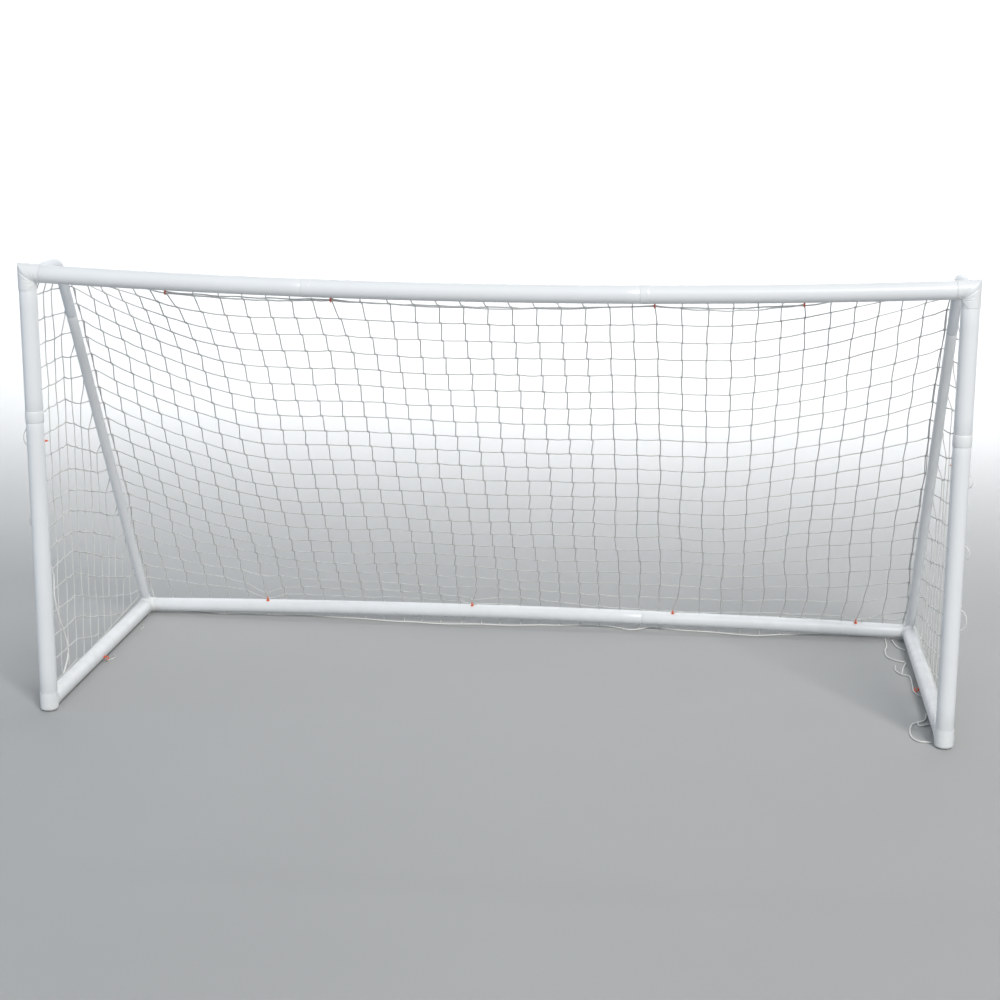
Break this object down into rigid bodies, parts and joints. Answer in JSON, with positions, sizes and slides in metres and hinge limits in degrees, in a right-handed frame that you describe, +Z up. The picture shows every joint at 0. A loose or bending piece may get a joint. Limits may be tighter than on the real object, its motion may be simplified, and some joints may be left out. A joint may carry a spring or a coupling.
{
  "type": "portable football goal",
  "caption": "Free-standing goal frame of plug-together tubes with moulded corners, plastic hooks, sprung lock buttons and a knotted net.",
  "frame": {"origin": "on the ground, under the middle of the goal's box", "axes": "+X to the right as seen from the front, +Y to the back, +Z up"},
  "size_m": [3.6736, 1.4786, 1.8233],
  "materials": {
    "coated_steel": "white satin coating",
    "moulding": "white satin moulding",
    "inner_steel": "zinc plated",
    "hook_plastic": "orange-red moulding",
    "net_cord": "twisted polyethylene cord"
  },
  "bodies": {
    "frame": {"back_net": "net_cord", "crossbar_coupler_left": "inner_steel", "crossbar_coupler_right": "inner_steel", "crossbar_hook_1": "hook_plastic", "crossbar_hook_2": "hook_plastic", "crossbar_hook_3": "hook_plastic", "crossbar_hook_4": "hook_plastic", "crossbar_left": "coated_steel", "crossbar_middle": "coated_steel", "crossbar_right": "coated_steel", "front_foot_left": "moulding", "front_foot_right": "moulding", "front_side_bar_left": "coated_steel", "front_side_bar_right": "coated_steel", "lower_post_left": "coated_steel", "lower_post_right": "coated_steel", "post_collar_left": "moulding", "post_collar_right": "moulding", "post_hook_left": "hook_plastic", "post_hook_right": "hook_plastic", "rear_bar_coupler": "inner_steel", "rear_bar_hook_1": "hook_plastic", "rear_bar_hook_2": "hook_plastic", "rear_bar_hook_3": "hook_plastic", "rear_bar_hook_4": "hook_plastic", "rear_bar_left": "coated_steel", "rear_bar_right": "coated_steel", "rear_corner_left": "moulding", "rear_corner_right": "moulding", "rear_elbow_left": "coated_steel", "rear_elbow_right": "coated_steel", "rear_side_bar_left": "coated_steel", "rear_side_bar_right": "coated_steel", "side_bar_coupler_left": "inner_steel", "side_bar_coupler_right": "inner_steel", "side_bar_hook_left": "hook_plastic", "side_bar_hook_right": "hook_plastic", "side_net_left": "net_cord", "side_net_right": "net_cord", "stanchion_left": "coated_steel", "stanchion_right": "coated_steel", "top_corner_left": "moulding", "top_corner_right": "moulding", "upper_post_left": "coated_steel", "upper_post_right": "coated_steel"},
    "crossbar_snap_left": {"crossbar_button_left": "inner_steel"},
    "crossbar_snap_right": {"crossbar_button_right": "inner_steel"},
    "post_snap_left": {"post_button_left": "inner_steel"},
    "post_snap_right": {"post_button_right": "inner_steel"},
    "side_bar_snap_left": {"side_bar_button_left": "inner_steel"},
    "side_bar_snap_right": {"side_bar_button_right": "inner_steel"},
    "stanchion_snap_left": {"stanchion_button_left": "inner_steel"},
    "stanchion_snap_right": {"stanchion_button_right": "inner_steel"}
  },
  "joints": [
    {"name": "crossbar_button_left_press", "type": "slide", "parent": "frame", "child": "crossbar_snap_left", "axis": [0, -1, 0], "range_m": [0, 0.0055], "stiffness_N_per_m": 1200, "springref_m": -0.003},
    {"name": "crossbar_button_right_press", "type": "slide", "parent": "frame", "child": "crossbar_snap_right", "axis": [0, -1, 0], "range_m": [0, 0.0055], "stiffness_N_per_m": 1200, "springref_m": -0.003},
    {"name": "post_button_left_press", "type": "slide", "parent": "frame", "child": "post_snap_left", "axis": [0, -1, 0], "range_m": [0, 0.0055], "stiffness_N_per_m": 1200, "springref_m": -0.003},
    {"name": "post_button_right_press", "type": "slide", "parent": "frame", "child": "post_snap_right", "axis": [0, -1, 0], "range_m": [0, 0.0055], "stiffness_N_per_m": 1200, "springref_m": -0.003},
    {"name": "side_bar_button_left_press", "type": "slide", "parent": "frame", "child": "side_bar_snap_left", "axis": [1, 0, 0], "range_m": [0, 0.0055], "stiffness_N_per_m": 1200, "springref_m": -0.003},
    {"name": "side_bar_button_right_press", "type": "slide", "parent": "frame", "child": "side_bar_snap_right", "axis": [-1, 0, 0], "range_m": [0, 0.0055], "stiffness_N_per_m": 1200, "springref_m": -0.003},
    {"name": "stanchion_button_left_press", "type": "slide", "parent": "frame", "child": "stanchion_snap_left", "axis": [1, 0, 0], "range_m": [0, 0.005], "stiffness_N_per_m": 1200, "springref_m": -0.003},
    {"name": "stanchion_button_right_press", "type": "slide", "parent": "frame", "child": "stanchion_snap_right", "axis": [-1, 0, 0], "range_m": [0, 0.005], "stiffness_N_per_m": 1200, "springref_m": -0.003}
  ]
}
